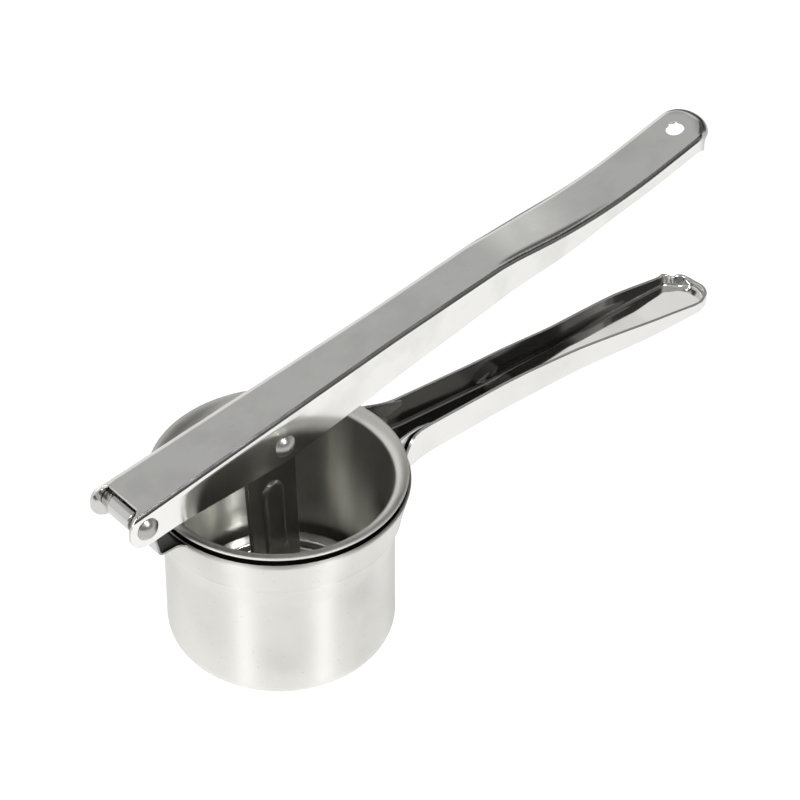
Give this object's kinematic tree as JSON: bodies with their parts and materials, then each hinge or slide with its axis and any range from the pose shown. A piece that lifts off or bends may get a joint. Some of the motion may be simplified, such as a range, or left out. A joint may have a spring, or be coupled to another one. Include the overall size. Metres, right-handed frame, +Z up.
{
  "type": "potato ricer",
  "caption": "Lever-driven plunger presses cooked food through a perforated basket held in an open-bottomed cup with a channel handle.",
  "frame": {"origin": "on the cup's axis, in the plane of its base", "axes": "+Z up along the cup's axis, +X from the hinge towards the handles, +Y across"},
  "size_m": [0.2794, 0.096, 0.1411],
  "materials": {
    "cup_steel": "satin, turned round the cup",
    "basket_steel": "fine brushed",
    "handle_steel": "bright polished",
    "plunger_steel": "bright rolled",
    "rivet_steel": "bright drawn"
  },
  "bodies": {
    "holder": {"outer_cup": "cup_steel", "lower_handle": "handle_steel", "hinge_sleeve": "rivet_steel"},
    "lever": {"lever": "handle_steel", "hinge_rivet": "rivet_steel", "pivot_rivet": "rivet_steel", "near_spacer": "rivet_steel", "far_spacer": "rivet_steel"},
    "plunger": {"plunger_strut": "plunger_steel", "plunger_disc": "plunger_steel", "foot_rivets": "rivet_steel"},
    "basket": {"basket": "basket_steel"}
  },
  "joints": [
    {"name": "lever_hinge", "type": "hinge", "parent": "holder", "child": "lever", "pos_m": [-0.066, 0, 0.0915], "axis": [0, -1, 0], "range_deg": [0, 45]},
    {"name": "plunger_pivot", "type": "hinge", "parent": "lever", "child": "plunger", "pos_m": [-0.0046, 0, 0.09502], "axis": [0, -1, 0], "range_deg": [-32.4, 0]},
    {"name": "basket_turn", "type": "hinge", "parent": "holder", "child": "basket", "pos_m": [0, 0, 0], "axis": [0, 0, 1], "continuous": true}
  ],
  "couplings": [
    {"joint": "plunger_pivot", "follows": "lever_hinge", "ratio": -0.72}
  ]
}
